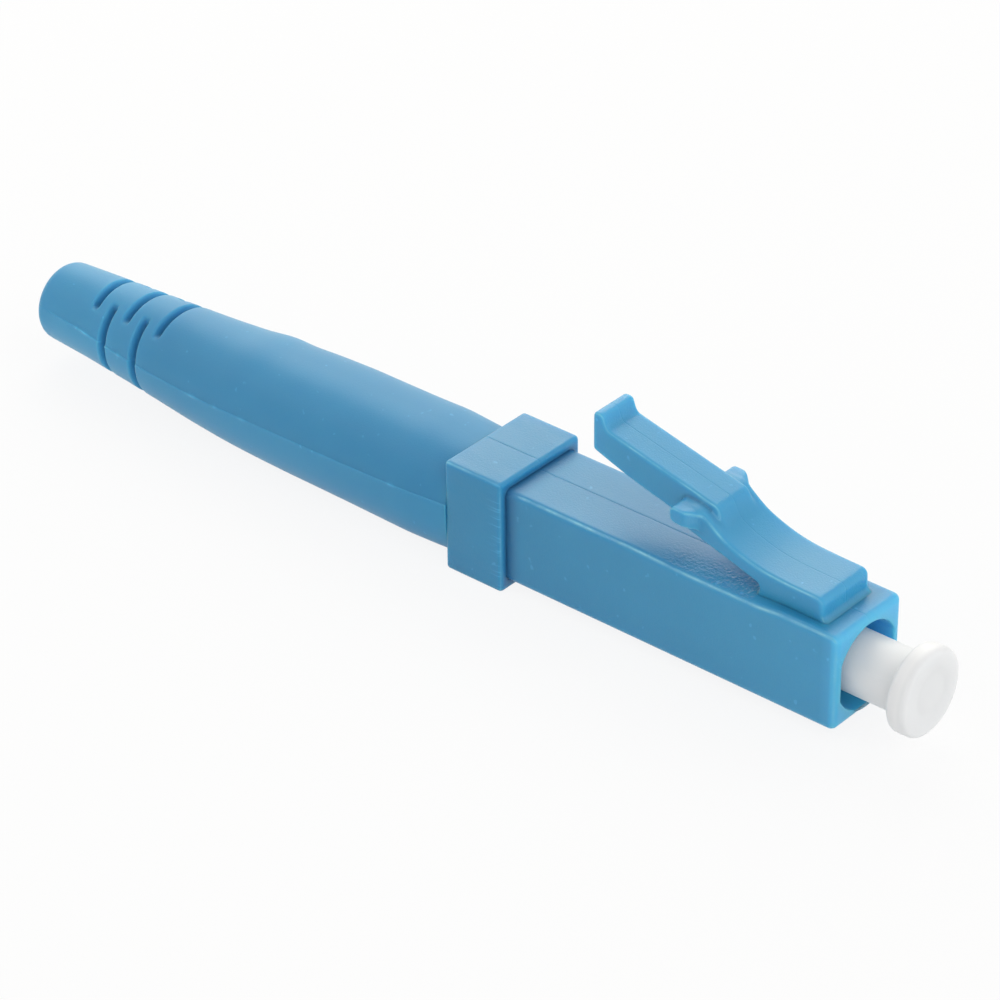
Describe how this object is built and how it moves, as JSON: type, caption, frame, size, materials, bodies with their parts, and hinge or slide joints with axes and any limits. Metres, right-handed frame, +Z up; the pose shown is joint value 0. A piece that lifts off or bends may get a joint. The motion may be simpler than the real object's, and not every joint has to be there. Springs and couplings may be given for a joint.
{
  "type": "fibre optic connector",
  "caption": "Small-form fibre optic plug: square latched body, collar, tapering strain relief boot with flex slots, sprung ceramic ferrule and push-on dust cap.",
  "frame": {"origin": "centre of the collar's flat underside, on which the connector lies", "axes": "+X is the plugging direction, +Z is up through the latch, the ferrule axis runs along X"},
  "size_m": [0.0489, 0.0052, 0.0098],
  "materials": {
    "housing_plastic": "satin gloss moulded",
    "boot_rubber": "satin moulded",
    "cap_plastic": "translucent satin",
    "ceramic": "polished",
    "turned_steel": "turned",
    "spring_steel": "drawn wire",
    "crimp_brass": "plated",
    "tube_plastic": "satin"
  },
  "bodies": {
    "plug": {"housing": "housing_plastic", "spring_stop": "turned_steel", "crimp_ring": "crimp_brass", "strain_relief_boot": "boot_rubber", "ferrule_spring": "spring_steel"},
    "latch": {"latch_lever": "housing_plastic"},
    "ferrule_group": {"ferrule": "ceramic", "ferrule_flange": "turned_steel", "fibre_guide_tube": "tube_plastic"},
    "cap": {"dust_cap": "cap_plastic"}
  },
  "joints": [
    {"name": "latch_press", "type": "hinge", "parent": "plug", "child": "latch", "pos_m": [0.0142, 0, 0.00568], "axis": [0, -1, 0], "range_deg": [0, 14], "stiffness_Nm_per_rad": 0.1},
    {"name": "ferrule_float", "type": "slide", "parent": "plug", "child": "ferrule_group", "axis": [1, 0, 0], "range_m": [-0.0012, 0], "stiffness_N_per_m": 1000, "springref_m": 0.005, "deforming": ["ferrule_spring"]},
    {"name": "cap_pull", "type": "slide", "parent": "ferrule_group", "child": "cap", "axis": [1, 0, 0], "range_m": [0, 0.01]}
  ]
}
